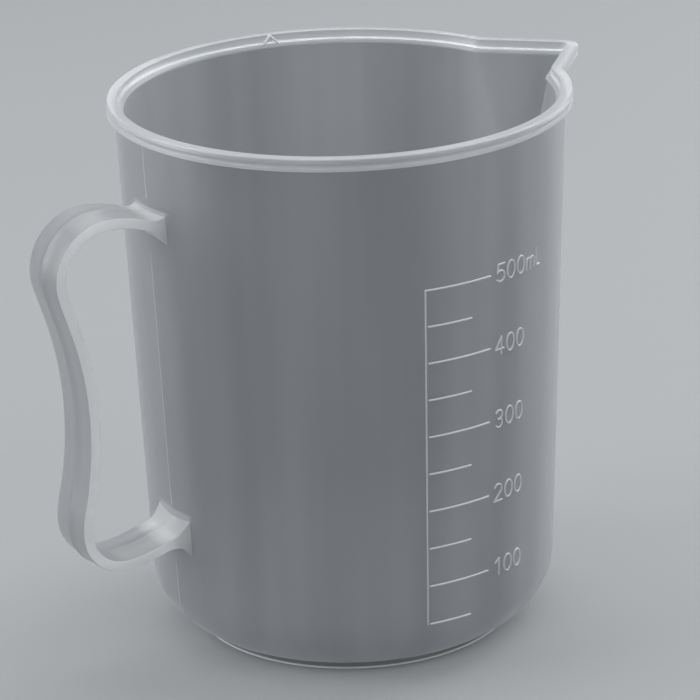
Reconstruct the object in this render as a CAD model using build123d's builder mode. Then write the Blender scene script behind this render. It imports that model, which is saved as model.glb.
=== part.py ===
from build123d import *
from math import acos, cos, degrees, pi, radians, sin, tan
import os

os.makedirs("parts", exist_ok=True)

# A 500 mL graduated beaker with a pouring spout and a strap handle, moulded in polypropylene.
# Millimetres. Origin: on the vessel's axis, in the plane that the foot ring rests on.
# +Z is up, the spout points to +X and the handle to -X.

# Vessel
height = 118.0
wall_radius_low = 43.7       # outer face of the wall, carried down to the resting plane
wall_radius_high = 47.55     # outer face of the wall, carried up to the top of the rim
wall_thickness = 1.7
corner_radius = 12.5         # outside, where the wall turns into the floor
underside = 1.3              # the floor's lower face stands this far above the resting plane
base_top = 15.0              # the wall stands on the base's corner at this level
floor_radius = 30.0          # of the flat floor, inside the rounded corner
foot_radius = 35.1
foot_width = 1.2
foot_round = 0.2

# Rim
rim_radius = 49.0
rim_depth = 2.6
rim_round = 0.5              # top outer edge
land_edge = 0.3              # short upright edge between the flat top and the cove
rim_land = 2.4               # width of the flat top
rim_width = 3.6              # from the outer face to the edge of the inner ledge
ledge_height = 0.3
cove_radius = 3.0
lug_azimuth = 77.4
lug_width = 3.4
lug_height = 1.6
lug_reach = 1.0              # how far the lug stands inwards from the edge of the flat top

# Spout: two flat sides that meet in a valley
spout_half_angle = 44.0      # between the spout's axis and each side, seen from above
spout_slope = 0.353          # how far the valley moves outwards for each unit of height
spout_valley = 57.7          # from the axis to the inner valley, at the underside of the rim
spout_valley_round = 1.0
spout_tip_round = 4.2        # of the rim's outer corner
spout_foot = 74.0            # just under the level where the valley leaves the wall
side_length = 26.0           # of the rim along each side, before it is trimmed to the round rim
wedge_overlap = 6.0          # how far the spout's space reaches inside the foot of the wall's cone

# Handle: distances from the vessel's axis and heights above the resting plane
strap_width = 12.0
strap_edge = 2.3             # thickness along both edges
strap_crest = 2.9            # thickness at the middle, where the two mould halves meet
strap_round = 0.3
arch_top = (59.8, 101.5)
arch_radius = 10.8
shoulder_radius = 24.2
shoulder_turn = 22.0
grip_lean = 16.7
grip_straight = 7.5
waist_radius = 75.0
waist_turn = 31.2
knee_radius = 20.0
heel_radius = 8.8
sole_radius = 26.0
arm_rise = 14.0
arm_length = 3.5
root_width = 13.6
root_edge_drop = 0.6         # a root is this much thinner along its edges than at its middle
upper_root = (44.5, 97.4)
upper_root_depth = 7.6
lower_root = (42.5, 28.4)
lower_root_depth = 10.8

# Scale: millilitres, and azimuths about the vessel's axis
capacity = 500
tick_step = 50
long_tick_step = 100
relief = 0.25
pen = 0.42
line_width = 0.35
line_azimuth = -101.4
tick_start = -100.6
long_tick_end = -82.3
short_tick_end = -88.3
numeral_start = -80.4        # azimuth of the left edge of the numerals
numeral_height = 3.8         # between the centre lines of the top and bottom strokes
numeral_width = 2.3
numeral_pitch = 3.2
seam_width = 0.35
seam_relief = 0.15
seam_bottom = 4.5
gate_radius = 2.2
gate_depth = 0.5

# Worked out from the sizes above
taper = (wall_radius_high - wall_radius_low) / height
floor_top = underside + wall_thickness
inner_corner = corner_radius - wall_thickness
rim_bottom = height - rim_depth
side_normal = 90.0 - spout_half_angle
handle_plane = Plane(origin=(0, 0, 0), x_dir=(-1, 0, 0), z_dir=(0, 1, 0))


def outer_radius(z):
    return wall_radius_low + taper * z


def inner_radius(z):
    return outer_radius(z) - wall_thickness


def on_circle(radius, azimuth):
    return Vector(radius * cos(radians(azimuth)), radius * sin(radians(azimuth)))


def level_for(millilitres):
    """Height of this volume above the resting plane: a cone on a floor with a rounded corner."""
    lost_share = 1 - pi / 4
    lost_arm = inner_radius(floor_top) - inner_corner + inner_corner / (6 * lost_share)
    lost = 2 * pi * lost_arm * lost_share * inner_corner ** 2
    cubed = (millilitres * 1000 + lost) * 3 * taper / pi + inner_radius(floor_top) ** 3
    return (cubed ** (1 / 3) - inner_radius(0)) / taper


def write(piece, name):
    piece.part.label = name
    export_step(piece.part, f"parts/{name}.step")


# ---- Solids that shape the pieces and aren't written ----


def vessel_body(extra):
    """The vessel's outside as one full solid, thicker all over by extra."""
    low, high = underside - extra, rim_bottom
    with BuildPart() as body:
        with BuildSketch(Plane.XZ):
            with BuildLine():
                side = FilletPolyline(
                    (0, low),
                    (outer_radius(low) + extra, low),
                    (outer_radius(high) + extra, high),
                    radius=corner_radius + extra,
                )
                Polyline(side @ 1, (0, high), (0, low))
            make_face()
        revolve(axis=Axis.Z)
    return body.part


def spout_wedge(extra, rounding):
    """The V-shaped space of the spout, wider on both sides by extra, up to the rim's underside."""
    back = wall_radius_low - wedge_overlap
    with BuildPart() as wedge:
        for z in (spout_foot, rim_bottom):
            valley = spout_valley + spout_slope * (z - rim_bottom)
            tip = valley + extra / cos(radians(side_normal))
            half = (tip - back) * tan(radians(spout_half_angle))
            with BuildSketch(Plane.XY.offset(z)):
                with BuildLine():
                    Polyline((back, -half), (tip, 0), (back, half), close=True)
                make_face()
        loft(ruled=True)
        fillet(wedge.edges().sort_by(Axis.X)[-1], radius=rounding)
    return wedge.part


full_vessel = vessel_body(0)
inner_wedge = spout_wedge(0, spout_valley_round)
outer_wedge = spout_wedge(wall_thickness, spout_valley_round + wall_thickness)

with BuildPart() as relief_skin:
    add(vessel_body(relief))
    add(full_vessel, mode=Mode.SUBTRACT)

# ---- Base: flat floor and rounded corner ----

with BuildPart() as base_floor:
    with BuildSketch(Plane.XY.offset(underside)):
        Circle(floor_radius)
    extrude(amount=wall_thickness)
write(base_floor, "base_floor")

with BuildPart() as base_corner:
    with BuildSketch(Plane.XZ):
        with BuildLine():
            outside = FilletPolyline(
                (floor_radius, underside),
                (outer_radius(underside), underside),
                (outer_radius(base_top), base_top),
                radius=corner_radius,
            )
            inside = FilletPolyline(
                (floor_radius, floor_top),
                (inner_radius(floor_top), floor_top),
                (inner_radius(base_top), base_top),
                radius=inner_corner,
            )
            Line(outside @ 0, inside @ 0)
            Line(outside @ 1, inside @ 1)
        make_face()
    revolve(axis=Axis.Z)
write(base_corner, "base_corner")

with BuildPart() as foot_ring:
    with BuildSketch():
        Circle(foot_radius)
        Circle(foot_radius - foot_width, mode=Mode.SUBTRACT)
    extrude(amount=floor_top)
    fillet(foot_ring.edges().group_by(Axis.Z)[0], radius=foot_round)
    add(full_vessel, mode=Mode.SUBTRACT)
write(foot_ring, "foot_ring")

with BuildPart() as gate_mark:
    with BuildSketch(Plane.XY.offset(underside - gate_depth)):
        Circle(gate_radius)
    extrude(amount=gate_depth)
write(gate_mark, "gate_mark")

# ---- Wall and spout ----

with BuildPart() as vessel_wall:
    with BuildSketch(Plane.XZ):
        with BuildLine():
            Polyline(
                (inner_radius(base_top), base_top),
                (outer_radius(base_top), base_top),
                (outer_radius(rim_bottom), rim_bottom),
                (inner_radius(rim_bottom), rim_bottom),
                close=True,
            )
        make_face()
    revolve(axis=Axis.Z)
    add(inner_wedge, mode=Mode.SUBTRACT)
write(vessel_wall, "vessel_wall")

with BuildPart() as pouring_spout:
    add(outer_wedge)
    add(inner_wedge, mode=Mode.SUBTRACT)
    add(full_vessel, mode=Mode.SUBTRACT)
write(pouring_spout, "pouring_spout")

# ---- Rim: one section, turned round the vessel and carried along the spout's two sides ----


def rim_section(plane):
    """The rim's section: local X points outwards from the rim's outer face, local Y is up."""
    with BuildSketch(plane) as section:
        with BuildLine():
            cove_top = (-rim_land, height - land_edge)
            cove_foot = (-rim_width, rim_bottom + ledge_height)
            cove = RadiusArc(cove_top, cove_foot, radius=cove_radius)
            Polyline(cove @ 1, (-rim_width, rim_bottom), (0, rim_bottom), (0, height))
            Polyline((0, height), (-rim_land, height), cove @ 0)
        make_face()
        fillet(section.vertices().sort_by(Axis.Y)[-2:].sort_by(Axis.X)[-1], radius=rim_round)
    return section.sketch


rim_side = spout_valley * cos(radians(side_normal)) + wall_thickness
rim_side += rim_radius - outer_radius(rim_bottom)
rim_tip = Vector(rim_side / cos(radians(side_normal)), 0, 0)
joint_outer = on_circle(rim_radius, side_normal - degrees(acos(rim_side / rim_radius)))
ledge_radius = rim_radius - rim_width
ledge_turn = degrees(acos((rim_side - rim_width) / ledge_radius))
joint_inner = on_circle(ledge_radius, side_normal - ledge_turn)
along_joint = (joint_outer - joint_inner).normalized()
joint_start = joint_inner - along_joint * rim_width * 2
joint_end = joint_outer + along_joint * side_length

# everything on the spout's side of the two vertical planes where the round rim ends
with BuildPart() as spout_sector:
    with BuildSketch(Plane.XY.offset(rim_bottom - 1)):
        with BuildLine():
            Polyline(
                (joint_start.X, joint_start.Y),
                (joint_end.X, joint_end.Y),
                (joint_end.X, -joint_end.Y),
                (joint_start.X, -joint_start.Y),
                close=True,
            )
        make_face()
    extrude(amount=rim_depth + 2)

ring_section = rim_section(Plane(origin=(rim_radius, 0, 0), x_dir=(1, 0, 0), z_dir=(0, -1, 0)))

with BuildPart() as rim_ring:
    revolve(ring_section, axis=Axis.Z)

with BuildPart() as rim_lip:
    add(rim_ring.part)
    add(spout_sector.part, mode=Mode.SUBTRACT)
write(rim_lip, "rim_lip")

side_direction = Vector(-sin(radians(side_normal)), cos(radians(side_normal)), 0)
side_outward = Vector(cos(radians(side_normal)), sin(radians(side_normal)), 0)
side_start = rim_tip + side_direction * side_length
side_section = rim_section(Plane(origin=side_start, x_dir=side_outward, z_dir=-side_direction))

with BuildPart() as spout_lip:
    with BuildLine() as side_path:
        Polyline(
            side_start,
            rim_tip,
            (side_start.X, -side_start.Y, 0),
        )
    sweep(side_section, path=side_path.line, transition=Transition.RIGHT)
    with BuildSketch(Plane.XY.offset(rim_bottom)):
        with BuildLine():
            plan = FilletPolyline(
                side_start,
                rim_tip,
                (side_start.X, -side_start.Y),
                radius=spout_tip_round,
            )
            Line(plan @ 1, plan @ 0)
        make_face()
    extrude(amount=rim_depth, mode=Mode.INTERSECT)
    add(spout_sector.part, mode=Mode.INTERSECT)
write(spout_lip, "spout_lip")

with BuildPart() as rim_lug:
    lug_plane = Plane(
        origin=on_circle(rim_radius - rim_land, lug_azimuth) + Vector(0, 0, height - lug_height),
        x_dir=on_circle(1, lug_azimuth + 90),
        z_dir=on_circle(-1, lug_azimuth),
    )
    with BuildSketch(lug_plane):
        with BuildLine():
            Polyline((-lug_width / 2, 0), (lug_width / 2, 0), (0, -lug_height), close=True)
        make_face()
    extrude(amount=lug_reach)
    add(rim_ring.part, mode=Mode.SUBTRACT)
write(rim_lug, "rim_lug")

# ---- Handle: a flat strap, a little thicker at its middle, with a root at each end ----

with BuildLine(handle_plane) as strap_path:
    shoulder_start = (
        arch_top[0] - shoulder_radius * sin(radians(shoulder_turn)),
        arch_top[1] - shoulder_radius * (1 - cos(radians(shoulder_turn))),
    )
    heading = (cos(radians(shoulder_turn)), sin(radians(shoulder_turn)))
    shoulder = JernArc(shoulder_start, heading, shoulder_radius, -shoulder_turn)
    arch = JernArc(shoulder @ 1, shoulder % 1, arch_radius, -90 - grip_lean)
    grip = PolarLine(arch @ 1, grip_straight, direction=arch % 1)
    waist = JernArc(grip @ 1, grip % 1, waist_radius, waist_turn)
    knee = JernArc(waist @ 1, waist % 1, knee_radius, grip_lean - waist_turn)
    heel = JernArc(knee @ 1, knee % 1, heel_radius, -90)
    sole = JernArc(heel @ 1, heel % 1, sole_radius, -arm_rise)
    arm = PolarLine(sole @ 1, arm_length, direction=sole % 1)


def strap_section(plane, width, middle, edge):
    """A flat section across the handle, crested along the line where the mould halves meet."""
    with BuildSketch(plane) as section:
        with BuildLine():
            Polyline(
                (-width / 2, -edge / 2),
                (0, -middle / 2),
                (width / 2, -edge / 2),
                (width / 2, edge / 2),
                (0, middle / 2),
                (-width / 2, edge / 2),
                close=True,
            )
        make_face()
        outer_corners = section.vertices().group_by(SortBy.DISTANCE)[-1]
        fillet(outer_corners, radius=strap_round)
    return section.sketch


def root_section(place, depth):
    """The handle's section inside the wall, on a vertical plane across the handle."""
    origin = handle_plane.from_local_coords((place[0], place[1], 0))
    plane = Plane(origin=origin, x_dir=(0, 1, 0), z_dir=(1, 0, 0))
    return strap_section(plane, root_width, depth, depth - root_edge_drop)


def end_section(end):
    """The strap's own section at one end of its path, 0 at the top and 1 at the bottom."""
    path = strap_path.line
    outwards = path % end * (1 - 2 * end)
    plane = Plane(origin=path @ end, x_dir=(0, 1, 0), z_dir=-outwards)
    return strap_section(plane, strap_width, strap_crest, strap_edge)


with BuildPart() as handle_strap:
    sweep(end_section(0), path=strap_path.line)
write(handle_strap, "handle_strap")

with BuildPart() as handle_upper_root:
    loft([end_section(0), root_section(upper_root, upper_root_depth)])
    add(full_vessel, mode=Mode.SUBTRACT)
write(handle_upper_root, "handle_upper_root")

with BuildPart() as handle_lower_root:
    loft([end_section(1), root_section(lower_root, lower_root_depth)])
    add(full_vessel, mode=Mode.SUBTRACT)
write(handle_lower_root, "handle_lower_root")

# ---- Raised lines on the wall: the mould's parting line and the scale ----


def wall_strip(low, high, start, end, name):
    """A raised band on the cone of the wall, between two levels and two azimuths."""
    with BuildPart() as strip:
        with BuildSketch(Plane.XZ.rotated((0, 0, start))):
            with BuildLine():
                Polyline(
                    (outer_radius(low), low),
                    (outer_radius(low) + relief, low),
                    (outer_radius(high) + relief, high),
                    (outer_radius(high), high),
                    close=True,
                )
            make_face()
        revolve(axis=Axis.Z, revolution_arc=end - start)
    write(strip, name)


def parting_line(side, name):
    """A thin raised line down one side of the wall, round the corner, broken by the handle."""
    with BuildPart() as line:
        add(vessel_body(seam_relief))
        add(full_vessel, mode=Mode.SUBTRACT)
        with BuildSketch(Plane.XY.offset(seam_bottom)):
            with Locations((side * rim_radius / 2, 0)):
                Rectangle(rim_radius, seam_width)
        extrude(amount=rim_bottom - seam_bottom, mode=Mode.INTERSECT)
        for solid in (handle_upper_root.part, handle_lower_root.part, outer_wedge):
            add(solid, mode=Mode.SUBTRACT)
    write(line, name)


parting_line(-1, "parting_line_handle_side")
parting_line(1, "parting_line_spout_side")

line_half = degrees(line_width / 2 / outer_radius(height / 2))
line_low = level_for(tick_step) - pen / 2
line_high = level_for(capacity) + pen / 2
wall_strip(line_low, line_high, line_azimuth - line_half, line_azimuth + line_half, "scale_line")

for millilitres in range(tick_step, capacity + 1, tick_step):
    level = level_for(millilitres)
    azimuth_end = short_tick_end if millilitres % long_tick_step else long_tick_end
    tick_name = f"tick_{millilitres:03d}"
    wall_strip(level - pen / 2, level + pen / 2, tick_start, azimuth_end, tick_name)

# ---- Numerals: strokes drawn on a plane that touches the wall ----

top, middle, bottom = numeral_height / 2, 0, -numeral_height / 2
head, foot = top + pen / 2, bottom - pen / 2      # where an upright stroke ends
full, half = numeral_width, numeral_width / 2
bowl = numeral_height / 4
stem = 0.7 * full


def draw_one(x):
    Line((x + stem, head), (x + stem, foot))
    Line((x + stem, top - pen / 4), (x + 0.25 * full, top - bowl))


def draw_two(x):
    shoulder = 1.1 * bowl
    hook = CenterArc((x + half, top - shoulder), shoulder, 165, -200)
    Polyline(hook @ 1, (x, bottom), (x + full, bottom))


def draw_three(x):
    CenterArc((x + half, top - bowl), bowl, 150, -240)
    CenterArc((x + half, bottom + bowl), bowl, 105, -255)


def draw_four(x):
    bar = bottom + 0.3 * numeral_height
    Line((x + stem, head), (x + stem, foot))
    Line((x + stem, top - pen / 4), (x, bar + pen / 4))
    Line((x - pen / 4, bar), (x + full, bar))


def draw_five(x):
    belly = 1.25 * bowl
    curve = CenterArc((x + half, bottom + belly), belly, 140, -280)
    Polyline(curve @ 0, (x + 0.2 * full, top), (x + 0.95 * full, top))


def draw_zero(x):
    for start in (0, 180):
        EllipticalCenterArc((x + half, middle), half, top, start_angle=start, arc_size=180)


def draw_m(x):
    arch_width = 0.62 * full
    crown = bottom + 0.66 * numeral_height
    spring = crown - arch_width / 2
    Line((x, foot), (x, crown + pen / 2))
    for left in (x, x + arch_width):
        right = left + arch_width
        over = ThreePointArc((left, spring), (left + arch_width / 2, crown), (right, spring))
        Line(over @ 1, (right, foot))


def draw_l(x):
    Polyline((x, head), (x, bottom), (x + 0.55 * full, bottom))


strokes = {
    "0": draw_zero,
    "1": draw_one,
    "2": draw_two,
    "3": draw_three,
    "4": draw_four,
    "5": draw_five,
    "m": draw_m,
    "L": draw_l,
}
advance = {"m": numeral_pitch + 0.3 * full}


def numeral(millilitres, text):
    level = level_for(millilitres)
    width = sum(advance.get(character, numeral_pitch) for character in text)
    azimuth = numeral_start + degrees(width / 2 / outer_radius(level))
    inwards = on_circle(outer_radius(level) - rim_width, azimuth)
    face = Plane(
        origin=inwards + Vector(0, 0, level),
        x_dir=on_circle(1, azimuth + 90),
        z_dir=on_circle(1, azimuth),
    )
    with BuildPart() as piece:
        with BuildSketch(face):
            left = -width / 2 + pen / 2
            for character in text:
                with BuildLine():
                    strokes[character](left)
                trace(line_width=pen)
                left += advance.get(character, numeral_pitch)
        extrude(amount=2 * rim_width)
        add(relief_skin.part, mode=Mode.INTERSECT)
    write(piece, f"numeral_{millilitres}")


for millilitres in range(long_tick_step, capacity, long_tick_step):
    numeral(millilitres, str(millilitres))
numeral(capacity, f"{capacity}mL")
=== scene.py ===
import math

import bpy
import numpy as np
from mathutils import Matrix, Vector


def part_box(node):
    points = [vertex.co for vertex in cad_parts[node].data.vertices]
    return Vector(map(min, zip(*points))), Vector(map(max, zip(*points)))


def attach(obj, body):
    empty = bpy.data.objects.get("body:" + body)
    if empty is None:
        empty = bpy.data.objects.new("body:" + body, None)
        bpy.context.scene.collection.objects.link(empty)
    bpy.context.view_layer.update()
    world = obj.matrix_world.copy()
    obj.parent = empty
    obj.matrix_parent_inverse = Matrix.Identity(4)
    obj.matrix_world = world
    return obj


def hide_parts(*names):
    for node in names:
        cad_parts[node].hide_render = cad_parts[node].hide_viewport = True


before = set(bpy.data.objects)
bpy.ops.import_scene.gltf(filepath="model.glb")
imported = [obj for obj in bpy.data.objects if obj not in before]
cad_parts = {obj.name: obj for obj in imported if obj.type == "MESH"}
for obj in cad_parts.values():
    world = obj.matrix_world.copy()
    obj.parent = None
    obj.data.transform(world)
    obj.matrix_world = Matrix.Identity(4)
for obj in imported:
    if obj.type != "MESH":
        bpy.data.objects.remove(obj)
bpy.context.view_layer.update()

# A moulded polypropylene beaker. Lengths are in millimetres until a mesh is made, then metres.
METRE = 0.001
BODY = "root"


def corners(node):
    """The lowest and highest corner of a CAD node, in millimetres."""
    low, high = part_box(node)
    return low / METRE, high / METRE


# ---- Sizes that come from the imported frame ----

rim_low, rim_high = corners("rim_lip")
rim_bottom, height, rim_radius = rim_low.z, rim_high.z, rim_high.y
wall_low, wall_high = corners("vessel_wall")
base_top = wall_low.z
radius_at_base = corners("base_corner")[1].y
taper = (wall_high.y - radius_at_base) / (rim_bottom - base_top)
foot_radius = corners("foot_ring")[1].y
underside = corners("base_floor")[0].z
gate_low, gate_high = corners("gate_mark")
tick_levels = {v: sum(c.z for c in corners(f"tick_{v:03d}")) / 2 for v in range(50, 501, 50)}

# ---- Sizes of the moulding's details ----

wall_thickness = 1.7
corner_radius = 12.5         # outside, where the wall turns into the floor
foot_width = 1.2
foot_round = 0.25
foot_columns = 192           # of the ring's mesh, all the way round
gate_round = 0.15
rim_round = 0.5              # top outer edge
rim_land = 2.4               # width of the flat top
rim_width = 3.6              # from the outer face to the edge of the inner ledge
ledge_height = 0.3
land_edge = 0.3              # short upright edge between the flat top and the cove
cove_radius = 3.0
bead_drop = 0.8              # of the fine line under the rim's top edge
bead_height = 0.1
bead_half = 0.15             # half of that line's width

spout_normal = math.radians(46)    # azimuth that each side of the spout faces
spout_slope = 0.353          # how far the valley moves outwards for each unit of height
spout_valley = 57.7          # from the axis to the inner valley, at the underside of the rim
spout_span = math.radians(26)      # either side of the spout, where the mesh is finer
spout_level = 70             # above this, the rows of the mesh are closer together
spout_row = 1.3
wall_row = 4.0
spout_columns = 93           # of the vessel's mesh, across the spout
round_columns = 169          # and round the rest of it
valley_round = 1.0
valley_least = 0.4           # the valley's radius is never under this
valley_spread = 1.45         # width of the blend, as a multiple of the valley's radius
crease_round = 0.5

strap_width = 12.0
strap_edge = 2.3             # thickness along both edges
strap_crest = 2.9            # thickness at the middle
strap_round = 0.35
strap_step = 0.8             # longest step of the mesh along the strap
ridge_half = 0.28            # half of the width of the parting ridge
ridge_rise = 0.13
arch_top = np.array((59.8, 101.5))
arch_radius = 10.8
shoulder_radius = 24.2
shoulder_turn = 22
grip_lean = 16.7             # of the straight part of the grip, from upright
grip_straight = 7.5
waist_radius = 75.0
waist_turn = 31.2
knee_radius = 20.0
heel_radius = 8.8
sole_radius = 26.0
arm_rise = 14
arm_length = 3.5
root_width = 13.6
root_inset = 0.9             # how far the handle's ends reach into the wall
root_steps = 14
saddle = 0.9                 # how much lower a root is at its middle than along its edges
upper_root = (97.9, 7.4, 2.8)      # level on the wall, depth there, and how late it flares
lower_root = (28.6, 10.2, 3.0)

relief = 0.25
pen = 0.42
line_width = 0.35
line_azimuth = -101.4
tick_start = -100.6
long_tick_end = -82.3
short_tick_end = -88.3
stroke_step = 0.8            # a tick bends round the wall in steps of this length
line_steps = 40
numeral_start = -80.4        # azimuth of the left edge of the numerals
numeral_height = 3.8
numeral_width = 2.3
numeral_pitch = 3.2

seam_bottom = 4.0
seam_step = 3.0
seam_spout_top = 74.5        # the ridge ends where the spout begins
seam_handle_runs = [(seam_bottom, 24.6), (33.4, 94.2), (101.2, 116)]     # clear of the two roots

lug_azimuth = 77.4
lug_half = 1.7               # half of its width
lug_height = 1.5
lug_drop = 0.25              # of its peak, below the rim's top
lug_lean = 0.55              # share of the cove's slope that it follows
lug_pen = 0.55
lug_relief = 0.45


def outer_radius(z):
    return radius_at_base + taper * (z - base_top)


def inner_radius(z):
    return outer_radius(z) - wall_thickness


# ---- Mesh helpers ----


def make_mesh(name, points, faces):
    """A smooth-shaded object from points in millimetres, with its faces turned outwards."""
    mesh = bpy.data.meshes.new(name)
    mesh.from_pydata([tuple(p) for p in np.asarray(points) * METRE], [], faces)
    mesh.validate()
    mesh.calc_loop_triangles()
    co = np.array([v.co for v in mesh.vertices])
    tri = co[[list(t.vertices) for t in mesh.loop_triangles]]
    volume = np.einsum("ij,ij->i", tri[:, 0], np.cross(tri[:, 1], tri[:, 2])).sum()
    if volume < 0:
        mesh.flip_normals()
    mesh.polygons.foreach_set("use_smooth", [True] * len(mesh.polygons))
    piece = bpy.data.objects.new(name, mesh)
    bpy.context.scene.collection.objects.link(piece)
    return piece


def grid_faces(rows, columns, wrap_rows=False):
    """Four-sided faces between the points of a grid, listed row by row. Each row is a closed ring."""
    faces = []
    for i in range(rows if wrap_rows else rows - 1):
        for j in range(columns):
            a, b = i * columns + j, i * columns + (j + 1) % columns
            c, d = (i + 1) % rows * columns + (j + 1) % columns, (i + 1) % rows * columns + j
            faces.append((a, b, c, d))
    return faces


def rounded(outline, steps=5):
    """Points along a polyline of (x, y, radius), with each corner that has a radius as an arc."""
    made = []
    for i, (x, y, radius) in enumerate(outline):
        here = np.array((x, y))
        if radius == 0 or i in (0, len(outline) - 1):
            made.append(here)
            continue
        back = np.array(outline[i - 1][:2]) - here
        ahead = np.array(outline[i + 1][:2]) - here
        back, ahead = back / np.linalg.norm(back), ahead / np.linalg.norm(ahead)
        half = math.acos(np.clip(back @ ahead, -1, 1)) / 2
        bisector = (back + ahead) / np.linalg.norm(back + ahead)
        centre = here + bisector * radius / math.sin(half)
        start = here + back * radius / math.tan(half) - centre
        end = here + ahead * radius / math.tan(half) - centre
        sweep = math.pi - 2 * half
        for k in range(steps + 1):
            share = k / steps
            a, b = math.sin((1 - share) * sweep), math.sin(share * sweep)
            made.append(centre + (start * a + end * b) / math.sin(sweep))
    return made


def refined(points, longest):
    """The same polyline, with points added so that no step near a point is over longest(point)."""
    made = [points[0]]
    for here, there in zip(points, points[1:]):
        gap = np.linalg.norm(there - here)
        pieces = max(1, math.ceil(gap / longest((here + there) / 2)))
        made += [here + (there - here) * k / pieces for k in range(1, pieces + 1)]
    return made


def soft_max(a, b, width):
    """The larger of two values, with a smooth blend where they come within width of each other."""
    overlap = np.maximum(width - np.abs(a - b), 0) / width
    return np.maximum(a, b) + overlap * overlap * width / 4


# ---- The vessel: one closed skin with floor, wall, spout and rim ----


def cove():
    """The rim's concave inner flank, from the ledge up to the flat top."""
    low = np.array((rim_radius - rim_width, rim_bottom + ledge_height))
    high = np.array((rim_radius - rim_land, height - land_edge))
    chord = high - low
    length = np.linalg.norm(chord)
    outwards = np.array((chord[1], -chord[0])) / length
    drop = math.sqrt(cove_radius ** 2 - length ** 2 / 4)
    centre = (low + high) / 2 - outwards * drop
    start, end = (math.atan2(*(p - centre)[::-1]) for p in (low, high))
    angles = np.linspace(start, end, 7)
    return [centre + cove_radius * np.array((math.cos(a), math.sin(a))) for a in angles]


def vessel_outline():
    """Half of the vessel's section, from the axis inside, over the rim, to the axis below."""
    floor_top = underside + wall_thickness
    bead = height - bead_drop
    flank = [(x, y, 0) for x, y in cove()]
    inside = [
        (0, floor_top, 0),
        (inner_radius(floor_top), floor_top, corner_radius - wall_thickness),
        (inner_radius(rim_bottom), rim_bottom, 0.1),
        (rim_radius - rim_width, rim_bottom + 0.02, 0.08),
        *flank,
        (rim_radius - rim_land, height, 0.12),
        (rim_radius, height, rim_round),
        (rim_radius, bead + bead_half, 0),
        (rim_radius + bead_height, bead, 0),
        (rim_radius, bead - bead_half, 0),
        (rim_radius, rim_bottom, 0.2),
        (outer_radius(rim_bottom), rim_bottom, 0.25),
    ]
    below = [
        (outer_radius(underside), underside, corner_radius),
        (gate_high.x, underside, gate_round),
        (gate_high.x, gate_low.z, gate_round),
        (0, gate_low.z, 0),
    ]
    return inside + below


def step_near(point):
    """Rows lie closer together where the spout bends the wall."""
    return spout_row if point[1] > spout_level else wall_row


def reach(radius, z, azimuth):
    """Distance from the axis: round, or out to the spout's flat sides where they stand further out."""
    near_limit, far_limit, spout_reach = 1.4, 1.45, 0.7      # radians; the cosines stay above 0
    level = np.minimum(z, rim_bottom)
    offset = radius - inner_radius(level)
    side = (spout_valley + spout_slope * (level - rim_bottom)) * math.cos(spout_normal) + offset
    near = np.cos(np.minimum(np.abs(np.abs(azimuth) - spout_normal), near_limit))
    far = np.cos(np.minimum(np.abs(azimuth) + spout_normal, far_limit))
    tip = np.maximum(valley_round + offset, valley_least) * valley_spread
    sides = -soft_max(-side / near, -side / far, tip)
    return np.where(np.abs(azimuth) < spout_reach, soft_max(radius, sides, crease_round), radius)


def revolved(name, outline, azimuths):
    """A closed skin from a section that starts and ends on the axis."""
    first, last = outline[0], outline[-1]
    rows = outline[1:-1]
    points = []
    for radius, z in rows:
        far = reach(np.full(len(azimuths), radius), np.full(len(azimuths), z), azimuths)
        points += zip(far * np.cos(azimuths), far * np.sin(azimuths), np.full(len(azimuths), z))
    columns = len(azimuths)
    faces = grid_faces(len(rows), columns)
    start, end = len(points), len(points) + 1
    points += [(0, 0, first[1]), (0, 0, last[1])]
    for j in range(columns):
        k = (j + 1) % columns
        faces.append((start, k, j))
        faces.append((end, (len(rows) - 1) * columns + j, (len(rows) - 1) * columns + k))
    return make_mesh(name, points, faces)


fine = np.linspace(-spout_span, spout_span, spout_columns)
coarse = np.linspace(spout_span, 2 * math.pi - spout_span, round_columns)[1:-1]
azimuths = np.concatenate([fine, (coarse + math.pi) % (2 * math.pi) - math.pi])
vessel = revolved("vessel", refined(rounded(vessel_outline(), 6), step_near), azimuths)

# ---- The foot ring ----


def foot_mesh():
    """The low ring under the floor, rooted in it."""
    inner, root = foot_radius - foot_width, underside + wall_thickness / 2
    outline = [
        (foot_radius, root, 0),
        (foot_radius, 0, foot_round),
        (inner, 0, foot_round),
        (inner, root, 0),
    ]
    section = rounded(outline)
    around = np.linspace(0, 2 * math.pi, foot_columns + 1)[:-1]
    points = [(r * math.cos(a), r * math.sin(a), z) for r, z in section for a in around]
    return make_mesh("foot_ring", points, grid_faces(len(section), len(around), wrap_rows=True))


foot = foot_mesh()

# ---- Handle: a crested strap with a parting ridge, flared where it meets the wall ----

# From the upper root down to the lower one: (radius, degrees) is an arc, (None, length) is straight.
turns = [
    (shoulder_radius, -shoulder_turn),
    (arch_radius, -90 - grip_lean),
    (None, grip_straight),
    (waist_radius, waist_turn),
    (knee_radius, grip_lean - waist_turn),
    (heel_radius, -90),
    (sole_radius, -arm_rise),
    (None, arm_length),
]


def strap_path():
    """(x, z, heading) along the strap, with x outwards from the axis: arcs and straight runs."""
    heading = math.radians(shoulder_turn)
    at = arch_top - shoulder_radius * np.array((math.sin(heading), 1 - math.cos(heading)))
    made = [(at[0], at[1], heading)]
    for radius, amount in turns:
        length = amount if radius is None else abs(math.radians(amount)) * radius
        steps = math.ceil(length / strap_step)
        bend = 0 if radius is None else math.radians(amount) / steps
        for _ in range(steps):
            middle = heading + bend / 2
            chord = length / steps if not bend else 2 * radius * math.sin(abs(bend) / 2)
            at = at + chord * np.array((math.cos(middle), math.sin(middle)))
            heading += bend
            made.append((at[0], at[1], heading))
    return made


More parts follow.
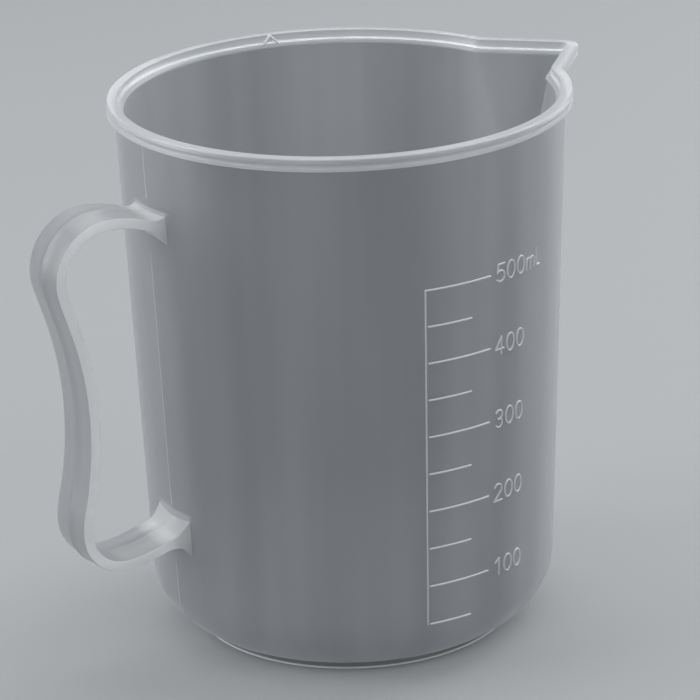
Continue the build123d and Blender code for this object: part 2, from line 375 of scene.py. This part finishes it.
def strap_outline(width, middle, edge):
    """The strap's section: (across, through), crested at the middle with a fine ridge."""
    side, half = width / 2, middle / 2
    flank = half - (middle - edge) / 2 * ridge_half / side
    left = [
        (-side, 0, 0),
        (-side, edge / 2, strap_round),
        (-side * 0.5, (half + edge / 2) / 2, 0),
        (-ridge_half, flank, 0),
        (-ridge_half * 0.4, half + ridge_rise * 0.8, 0),
    ]
    right = [(-x, y, radius) for x, y, radius in left[::-1]]
    upper = rounded(left + [(0, half + ridge_rise, 0)] + right, 4)
    return upper + [-p for p in upper[1:-1]]


def root_sections(start, heading, root):
    """(x, z, heading, width, middle, edge) from the strap's end into the wall."""
    level, depth, power = root
    centre = np.array((outer_radius(level) - root_inset, level))
    made = []
    for k in range(1, root_steps + 1):
        share = k / root_steps
        grown = share ** power
        at = start + (centre - start) * share
        turned = heading * (1 - share)
        width = strap_width + (root_width - strap_width) * grown
        middle = strap_crest + (depth - saddle - strap_crest) * grown
        edge = strap_edge + (depth - strap_edge) * grown
        made.append((at[0], at[1], turned, width, middle, edge))
    return made


def handle_mesh():
    """One closed skin from the upper root, along the strap, to the lower root."""
    path = strap_path()
    sections = [(x, z, heading, strap_width, strap_crest, strap_edge) for x, z, heading in path]
    (top_x, top_z, top_heading), (low_x, low_z, low_heading) = path[0], path[-1]
    upper = root_sections(np.array((top_x, top_z)), top_heading, upper_root)
    lower = root_sections(np.array((low_x, low_z)), low_heading + math.pi, lower_root)
    lower = [(x, z, turned - math.pi, w, m, e) for x, z, turned, w, m, e in lower]
    chain = upper[::-1] + sections + lower
    across = np.array((0, 1, 0))
    points = []
    for x, z, heading, width, middle, edge in chain:
        outline = strap_outline(width, middle, edge)
        count = len(outline)
        through = np.array((math.sin(heading), 0, math.cos(heading)))
        for a, b in outline:
            points.append(np.array((-x, 0, z)) + across * a + through * b)
    faces = grid_faces(len(chain), count)
    faces.append(tuple(range(count)))
    faces.append(tuple(range(len(points) - count, len(points)))[::-1])
    return make_mesh("strap_handle", points, faces)


handle = handle_mesh()

# ---- Raised lines on the wall ----


def ribbon(stroke, width, tall, place):
    """Points and faces of a raised line with round ends. stroke is in (across, up), and place
    turns (across, up, proud) into a point."""
    half_shape = [(-0.5, -0.5), (-0.5, 0.1), (-0.38, 0.7), (-0.18, 0.95)]
    shape = half_shape + [(0, 1)] + [(-a, h) for a, h in half_shape[::-1]]
    caps = [(0.3, 0.49), (0.6, 0.42), (0.85, 0.3), (0.98, 0.1)]     # (size, distance) of an end's rings
    stroke = [np.array(p, float) for p in stroke]
    closed = np.linalg.norm(stroke[0] - stroke[-1]) < 1e-6
    if closed:
        stroke = stroke[:-1]
    count = len(stroke)
    sections = []
    for i, here in enumerate(stroke):
        before = stroke[i - 1] if i > 0 or closed else here
        after = stroke[(i + 1) % count] if i < count - 1 or closed else here
        along = after - before
        along = along / np.linalg.norm(along)
        sections.append((here, along, 1.0))
    if not closed:
        (first, begins, _), (last, ends, _) = sections[0], sections[-1]
        opening = [(first - begins * width * out, begins, size) for size, out in caps]
        closing = [(last + ends * width * out, ends, size) for size, out in caps[::-1]]
        sections = opening + sections + closing
    points = []
    for here, along, size in sections:
        side = np.array((along[1], -along[0]))
        for a, h in shape:
            proud = tall * (h if h < 0 else h * size ** 0.5)
            at = here + side * a * width * size
            points.append(place(at[0], at[1], proud))
    faces = grid_faces(len(sections), len(shape), wrap_rows=closed)
    if not closed:
        faces.append(tuple(range(len(shape))))
        faces.append(tuple(range(len(points) - len(shape), len(points)))[::-1])
    return points, faces


def on_wall(azimuth, level):
    """Places (across, up, proud) on the wall, starting from an azimuth and a level."""

    def place(across, up, proud):
        z = level + up
        turn = math.radians(azimuth) + across / outer_radius(level)
        far = outer_radius(z) + proud
        return (far * math.cos(turn), far * math.sin(turn), z)

    return place


def arc_length(azimuth, level):
    """Distance round the wall that an angle in degrees covers at a level."""
    return math.radians(azimuth) * outer_radius(level)


def raised(name, node, strokes, place, width=pen):
    """One piece made of several raised strokes, standing for one CAD node."""
    points, faces = [], []
    for stroke in strokes:
        more, sides = ribbon(stroke, width, relief, place)
        faces += [tuple(i + len(points) for i in f) for f in sides]
        points += more
    piece = make_mesh(name, points, faces)
    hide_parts(node)
    return piece


def arc(x, y, radius, start, turn, squeeze=1.0):
    """Points on an arc, or on an ellipse squeezed across."""
    count = max(6, math.ceil(abs(turn) / 12))
    angles = [math.radians(start + turn * k / count) for k in range(count + 1)]
    return [(x + radius * squeeze * math.cos(a), y + radius * math.sin(a)) for a in angles]


top, bottom = numeral_height / 2, -numeral_height / 2
full, half = numeral_width, numeral_width / 2
bowl = numeral_height / 4


def draw_one(x):
    stem = x + 0.7 * full
    return [[(stem, top), (stem, bottom)], [(stem, top), (x + 0.25 * full, top - bowl)]]


def draw_two(x):
    shoulder = 1.1 * bowl
    hook = arc(x + half, top - shoulder, shoulder, 165, -200)
    return [hook + [(x, bottom)], [(x, bottom), (x + full, bottom)]]


def draw_three(x):
    return [arc(x + half, top - bowl, bowl, 150, -240), arc(x + half, bottom + bowl, bowl, 105, -255)]


def draw_four(x):
    stem, bar = x + 0.7 * full, bottom + 0.3 * numeral_height
    return [[(stem, top), (stem, bottom)], [(stem, top), (x, bar)], [(x, bar), (x + full, bar)]]


def draw_five(x):
    belly = 1.25 * bowl
    curve = arc(x + half, bottom + belly, belly, 140, -280)
    return [curve, [curve[0], (x + 0.2 * full, top)], [(x + 0.2 * full, top), (x + 0.95 * full, top)]]


def draw_zero(x):
    return [arc(x + half, 0, top, 0, 360, half / top)]


def draw_m(x):
    bow = 0.62 * full
    crown = bottom + 0.66 * numeral_height
    spring = crown - bow / 2
    strokes = [[(x, bottom), (x, crown)]]
    for left in (x, x + bow):
        strokes.append(arc(left + bow / 2, spring, bow / 2, 180, -180) + [(left + bow, bottom)])
    return strokes


def draw_l(x):
    return [[(x, top), (x, bottom)], [(x, bottom), (x + 0.55 * full, bottom)]]


glyphs = {
    "0": draw_zero,
    "1": draw_one,
    "2": draw_two,
    "3": draw_three,
    "4": draw_four,
    "5": draw_five,
    "m": draw_m,
    "L": draw_l,
}
advance = {"m": numeral_pitch + 0.3 * full}
marks = []

for volume, level in tick_levels.items():
    long_one = volume % 100 == 0
    end = long_tick_end if long_one else short_tick_end
    start = line_azimuth if volume == max(tick_levels) else tick_start
    span = arc_length(end - start, level)
    count = math.ceil(span / stroke_step)
    stroke = [(span * k / count, 0) for k in range(count + 1)]
    place = on_wall(start, level)
    marks.append(raised(f"graduation_{volume:03d}", f"tick_{volume:03d}", [stroke], place))
    if long_one:
        text = f"{volume}mL" if volume == max(tick_levels) else str(volume)
        strokes, left = [], pen / 2
        for character in text:
            strokes += glyphs[character](left)
            left += advance.get(character, numeral_pitch)
        place = on_wall(numeral_start, level)
        marks.append(raised(f"figure_{volume}", f"numeral_{volume}", strokes, place))

low_level, high_level = min(tick_levels.values()), max(tick_levels.values())
rise = high_level - low_level
stroke = [(0, rise * k / line_steps) for k in range(line_steps + 1)]
place = on_wall(line_azimuth, low_level)
marks.append(raised("graduation_line", "scale_line", [stroke], place, line_width))

# ---- The mould's parting line, down the wall and round the corner ----


def seam_path(high):
    """(distance from the axis, height) down the outside of the wall and round the corner."""
    outline = [
        (outer_radius(high), high, 0),
        (outer_radius(underside), underside, corner_radius),
        (foot_radius, underside, 0),
    ]
    points = refined(rounded(outline, 16), lambda p: seam_step)
    return [p for p in points if p[1] > seam_bottom]


def seam(name, node, azimuth, runs):
    """A fine ridge in the mould's parting plane, in one or more runs between two levels."""
    turn = math.radians(azimuth)
    forward = np.array((math.cos(turn), math.sin(turn), 0))
    across = np.array((-math.sin(turn), math.cos(turn), 0))
    points, faces = [], []
    shape = [(-0.17, -0.1), (-0.15, 0.03), (-0.06, 0.13), (0.06, 0.13), (0.15, 0.03), (0.17, -0.1)]
    path = seam_path(rim_bottom - 0.1)
    for low, high in runs:
        kept = [p for p in path if low < p[1] < high]
        first = len(points)
        for i, (far, z) in enumerate(kept):
            ahead, behind = kept[min(i + 1, len(kept) - 1)], kept[max(i - 1, 0)]
            along = (ahead - behind) / np.linalg.norm(ahead - behind)
            normal = -along[1] * forward + np.array((0, 0, along[0]))
            centre = forward * far + np.array((0, 0, z))
            ends = 0.2 if i in (0, len(kept) - 1) else 1.0
            points += [centre + across * a + normal * h * (ends if h > 0 else 1) for a, h in shape]
        sides = grid_faces(len(kept), len(shape))
        sides.append(tuple(range(len(shape))))
        sides.append(tuple(range((len(kept) - 1) * len(shape), len(kept) * len(shape)))[::-1])
        faces += [tuple(i + first for i in f) for f in sides]
    piece = make_mesh(name, points, faces)
    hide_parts(node)
    return piece


seam_spout_runs = [(seam_bottom, seam_spout_top)]
seams = [
    seam("parting_ridge_handle_side", "parting_line_handle_side", 180, seam_handle_runs),
    seam("parting_ridge_spout_side", "parting_line_spout_side", 0, seam_spout_runs),
]

# ---- The small triangular lug on the rim's inner flank ----


def lug_mesh():
    """A rib bent into a chevron, which stands on the ledge and leans on the rim's inner flank."""

    def place(across, up, proud):
        turn = math.radians(lug_azimuth) + across / rim_radius
        lean = (rim_width - rim_land) * (up / lug_height)
        far = rim_radius - rim_land + lean * lug_lean - proud
        return (far * math.cos(turn), far * math.sin(turn), height - lug_drop + up)

    leg = [(lug_half, -lug_height), (lug_half * 0.5, -lug_height * 0.5), (0.12, -0.1)]
    stroke = [(-x, y) for x, y in leg] + [(0, 0)] + leg[::-1]
    points, faces = ribbon(stroke, lug_pen, lug_relief, place)
    return make_mesh("rim_peak", points, faces)


lug = lug_mesh()

# ---- Material ----

root_outer = 51.5            # from the axis: the painted light on the handle's roots fades in from here
root_inner = 47.5            # to here
rim_fade = 0.4
foot_highlight_full = 0.4            # the foot ring's painted highlight is full up to this level
foot_highlight_end = 0.7
smoothest, roughest = 0.29, 0.37
sheen_weight = 0.15
sheen_roughness = 0.45
# Pale colour of the painted light on the rim, on the handle's sides and roots, and along the foot
# ring's edge.
painted_light_tint = (0.92, 0.93, 0.94)
haze_tint = (0.97, 0.98, 0.98)


def node(tree, kind, **inputs):
    """A shader node with its inputs set by name."""
    made = tree.nodes.new(kind)
    for name, value in inputs.items():
        made.inputs[name].default_value = value
    return made


def ranged(tree, value, low, high, start=0.0, end=1.0):
    """Maps a value from low..high to start..end, and holds it there outside."""
    made = tree.nodes.new("ShaderNodeMapRange")
    for name, amount in (("From Min", low), ("From Max", high), ("To Min", start), ("To Max", end)):
        made.inputs[name].default_value = amount
    tree.links.new(value, made.inputs["Value"])
    return made.outputs["Result"]


def part_of(tree, source, axis):
    """One component of a vector."""
    split = tree.nodes.new("ShaderNodeSeparateXYZ")
    tree.links.new(source, split.inputs["Vector"])
    return split.outputs[axis]


def math_of(tree, operation, *values):
    """The result of a math operation on one or two linked values."""
    made = tree.nodes.new("ShaderNodeMath")
    made.operation = operation
    for socket, value in zip(made.inputs, values):
        tree.links.new(value, socket)
    return made.outputs["Value"]


def side_mask(tree, place):
    """1 on the handle's side faces and its roots, behind which the plastic is deepest: painted light,
    pale for the light that scatters in that depth.
    """
    surface = tree.nodes.new("ShaderNodeNewGeometry")
    sideways = math_of(tree, "ABSOLUTE", part_of(tree, surface.outputs["Normal"], "Y"))
    along = part_of(tree, place.outputs["Object"], "X")
    root = ranged(tree, along, -root_outer * METRE, -root_inner * METRE)
    flank = ranged(tree, sideways, 0.45, 0.9)
    return math_of(tree, "MAXIMUM", flank, root)


def rim_mask(tree, place):
    """Painted light: half pale from the rim's underside up, for the light that the thick rim gathers.
    """
    level = part_of(tree, place.outputs["Object"], "Z")
    return ranged(tree, level, (rim_bottom - rim_fade) * METRE, rim_bottom * METRE, 0, 0.5)


def foot_mask(tree, place):
    """1 along the foot ring's lower edge, where a highlight is painted: pale, as if the edge caught the
    light.
    """
    level = part_of(tree, place.outputs["Object"], "Z")
    return ranged(tree, level, foot_highlight_end * METRE, foot_highlight_full * METRE)


def polypropylene(name, clarity, pale, dark, density=0, painted_light_mask=None):
    """Natural polypropylene: light goes through it, blurred, or is scattered by it.
    clarity is the share that goes through. pale and dark are the two ends of its banded tint,
    density is the haze inside it, and the last argument is a mask for where painted light makes it
    pale."""
    mat = bpy.data.materials.new(name)
    mat.use_nodes = True
    tree = mat.node_tree
    tree.nodes.clear()
    link = tree.links.new
    place = tree.nodes.new("ShaderNodeTexCoord")
    cloud = node(tree, "ShaderNodeTexNoise", Scale=38.0, Detail=3.0)
    link(place.outputs["Object"], cloud.inputs["Vector"])
    grain = node(tree, "ShaderNodeTexNoise", Scale=900.0, Detail=2.0)
    link(place.outputs["Object"], grain.inputs["Vector"])
    tint = tree.nodes.new("ShaderNodeValToRGB")
    low, high = tint.color_ramp.elements
    low.position, low.color = 0.3, (*dark, 1)
    high.position, high.color = 0.7, (*pale, 1)
    upright = node(tree, "ShaderNodeMapping", Scale=(75, 75, 4))
    link(place.outputs["Object"], upright.inputs["Vector"])
    bands = node(tree, "ShaderNodeTexNoise", Scale=1.0, Detail=2.0)
    link(upright.outputs["Vector"], bands.inputs["Vector"])
    link(bands.outputs["Fac"], tint.inputs["Fac"])
    skin = node(tree, "ShaderNodeBsdfPrincipled", IOR=1.49)
    skin.inputs["Transmission Weight"].default_value = clarity
    colour = tint.outputs["Color"]
    # Painted light: where the mask is 1, the tint is blended towards the pale painted-light colour.
    if painted_light_mask:
        blend = tree.nodes.new("ShaderNodeMix")
        blend.data_type = "RGBA"
        blend.inputs["B"].default_value = (*painted_light_tint, 1)
        link(painted_light_mask(tree, place), blend.inputs["Factor"])
        link(colour, blend.inputs["A"])
        colour = blend.outputs["Result"]
    link(colour, skin.inputs["Base Color"])
    skin.inputs["Sheen Weight"].default_value = sheen_weight
    skin.inputs["Sheen Roughness"].default_value = sheen_roughness
    cloudy = ranged(tree, cloud.outputs["Fac"], 0.2, 0.8, smoothest, roughest)
    link(cloudy, skin.inputs["Roughness"])
    rough = node(tree, "ShaderNodeBump", Strength=0.02, Distance=0.0004)
    link(grain.outputs["Fac"], rough.inputs["Height"])
    link(rough.outputs["Normal"], skin.inputs["Normal"])
    passing = node(tree, "ShaderNodeBsdfTransparent", Color=(clarity, clarity, clarity, 1))
    path = tree.nodes.new("ShaderNodeLightPath")
    mix = tree.nodes.new("ShaderNodeMixShader")
    link(path.outputs["Is Shadow Ray"], mix.inputs["Fac"])
    link(skin.outputs["BSDF"], mix.inputs[1])
    link(passing.outputs["BSDF"], mix.inputs[2])
    out = tree.nodes.new("ShaderNodeOutputMaterial")
    link(mix.outputs["Shader"], out.inputs["Surface"])
    if density:
        haze = node(tree, "ShaderNodeVolumeScatter", Density=density, Anisotropy=0.2)
        haze.inputs["Color"].default_value = (*haze_tint, 1)
        link(haze.outputs["Volume"], out.inputs["Volume"])
    return mat


# From the rim's underside up, the wall is painted half pale: painted light.
wall_plastic = polypropylene(
    "natural_polypropylene",
    clarity=0.72,
    pale=(0.50, 0.515, 0.535),
    dark=(0.38, 0.395, 0.415),
    painted_light_mask=rim_mask,
)
# The handle's side faces and roots are painted pale: painted light.
strap_plastic = polypropylene(
    "natural_polypropylene_thick",
    clarity=0.65,
    pale=(0.42, 0.435, 0.45),
    dark=(0.35, 0.365, 0.38),
    density=110,
    painted_light_mask=side_mask,
)
# Foot ring: its dark tint is painted shade, and its pale lower edge is a painted highlight.
painted_light_foot_plastic = polypropylene(
    "painted_light_foot_polypropylene",
    clarity=0.2,
    pale=(0.20, 0.205, 0.21),
    dark=(0.17, 0.175, 0.18),
    painted_light_mask=foot_mask,
)
mark_plastic = polypropylene(
    "raised_polypropylene",
    clarity=0.25,
    pale=(0.76, 0.77, 0.79),
    dark=(0.68, 0.69, 0.71),
)

vessel.data.materials.append(wall_plastic)
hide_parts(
    "base_floor", "base_corner", "vessel_wall", "gate_mark", "rim_lip", "pouring_spout", "spout_lip",
)
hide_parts("handle_strap", "handle_upper_root", "handle_lower_root")
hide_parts("rim_lug")
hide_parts("foot_ring")
foot.data.materials.append(painted_light_foot_plastic)
handle.data.materials.append(strap_plastic)
for piece in [lug] + seams + marks:
    piece.data.materials.append(mark_plastic)
for piece in [vessel, foot, handle, lug] + seams:
    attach(piece, BODY)
for piece in marks:
    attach(piece, BODY)

# ---- Floor, light and camera ----

floor_half = 3.0             # metres, as is everything below
floor_mesh = bpy.data.meshes.new("floor")
square = [(-1, -1), (1, -1), (1, 1), (-1, 1)]
floor_mesh.from_pydata([(x * floor_half, y * floor_half, 0) for x, y in square], [], [(0, 1, 2, 3)])
floor = bpy.data.objects.new("floor", floor_mesh)
bpy.context.scene.collection.objects.link(floor)
paper = bpy.data.materials.new("pale_floor")
paper.use_nodes = True
paper_skin = paper.node_tree.nodes["Principled BSDF"]
paper_skin.inputs["Base Color"].default_value = (0.31, 0.318, 0.326, 1)
paper_skin.inputs["Roughness"].default_value = 0.9
floor_mesh.materials.append(paper)

world = bpy.data.worlds.new("studio")
world.use_nodes = True
sky = world.node_tree.nodes["Background"]
sky.inputs["Color"].default_value = (0.9, 0.95, 1.0, 1)
sky.inputs["Strength"].default_value = 0.45
bpy.context.scene.world = world
lamp_distance = 0.9
view_azimuth = -121.6


def lamp(name, kind, azimuth, elevation, power):
    """A white light that faces the object from an azimuth and an elevation."""
    light = bpy.data.lights.new(name, kind)
    light.energy = power
    holder = bpy.data.objects.new(name, light)
    a, e = math.radians(azimuth), math.radians(elevation)
    way = Vector((math.cos(a) * math.cos(e), math.sin(a) * math.cos(e), math.sin(e)))
    holder.location = Vector((0, 0, height * METRE / 2)) + way * lamp_distance
    holder.rotation_mode = "QUATERNION"
    holder.rotation_quaternion = (-way).to_track_quat("-Z", "Y")
    bpy.context.scene.collection.objects.link(holder)
    return light


def softbox(name, azimuth, elevation, power):
    """A tall rectangular soft light."""
    light = lamp(name, "AREA", azimuth, elevation, power)
    light.shape = "RECTANGLE"
    light.size, light.size_y = 0.5, 1.0


# (name, degrees from the camera's azimuth, elevation, power)
softboxes = [
    ("left_softbox", -85, 25, 5),
    ("right_softbox", 125, 25, 4),
    ("front_fill", 48, 35, 1.8),
]
for name, turn, elevation, power in softboxes:
    softbox(name, view_azimuth + turn, elevation, power)
glow = lamp("overhead_glow", "SUN", view_azimuth + 175, elevation=62, power=1.8)
glow.angle = math.radians(70)

camera_data = bpy.data.cameras.new("camera")
camera = bpy.data.objects.new("camera", camera_data)
bpy.context.scene.collection.objects.link(camera)
bpy.context.scene.camera = camera
camera_data.sensor_width = 36
camera_data.lens = 171.36
camera_data.clip_start = 0.01
spin, tilt, roll = math.radians(view_azimuth), math.radians(20.908), -0.0299155
view_distance = 0.7204
aim_height = 0.0593
aim_right = 0.0006
back = Vector((math.cos(spin) * math.cos(tilt), math.sin(spin) * math.cos(tilt), math.sin(tilt)))
right = Vector((-math.sin(spin), math.cos(spin), 0))
up = back.cross(right)
right, up = (
    right * math.cos(roll) + up * math.sin(roll),
    up * math.cos(roll) - right * math.sin(roll),
)
target = Vector((0, 0, aim_height)) + right * aim_right
turned = Matrix((right, up, back)).transposed().to_4x4()
camera.matrix_world = Matrix.Translation(target + back * view_distance) @ turned

bpy.context.scene.view_settings.view_transform = "Standard"
bpy.context.scene.cycles.volume_bounces = 3
